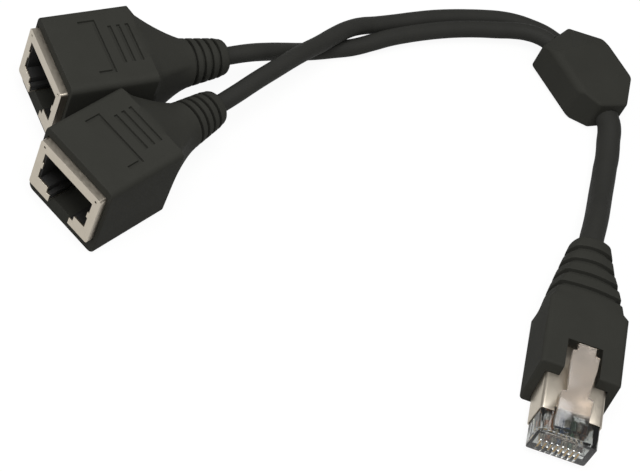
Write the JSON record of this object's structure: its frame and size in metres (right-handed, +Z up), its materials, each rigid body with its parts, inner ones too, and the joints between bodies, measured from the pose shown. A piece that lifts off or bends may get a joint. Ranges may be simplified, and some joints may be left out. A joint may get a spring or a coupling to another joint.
{
  "type": "rj45 splitter adapter",
  "caption": "Short splitter lead: shielded modular sockets and a booted modular plug joined by round cables at a moulded junction.",
  "frame": {"origin": "centre of the moulded junction's underside, on the surface that the lead lies on", "axes": "+Z up from that surface; the sockets open towards -Y; +X along the junction from its two branch cables to its trunk cable"},
  "size_m": [0.1144, 0.1271, 0.018],
  "materials": {
    "overmould": "satin moulded PVC, near black",
    "cable_jacket": "smooth extruded PVC, near black",
    "shield": "nickel-plated folded sheet, satin",
    "insert": "moulded black PBT",
    "contacts": "gold-plated phosphor bronze",
    "inner_mould": "natural moulded polyethylene",
    "clear_plug": "clear moulded polycarbonate",
    "wires": "coloured wire insulation"
  },
  "bodies": {
    "root": {"jack_a_housing": "overmould", "jack_a_shield": "shield", "jack_a_insert": "insert", "jack_a_contacts": "contacts", "jack_a_inner_mould": "inner_mould", "jack_b_housing": "overmould", "jack_b_shield": "shield", "jack_b_insert": "insert", "jack_b_contacts": "contacts", "jack_b_inner_mould": "inner_mould", "branch_cable_a": "cable_jacket", "branch_cable_b": "cable_jacket", "junction_block": "overmould", "trunk_cable": "cable_jacket", "plug_boot": "overmould", "plug_body": "clear_plug", "plug_shield": "shield", "plug_contacts": "contacts", "plug_load_bar": "inner_mould", "plug_wires": "wires"}
  },
  "joints": []
}
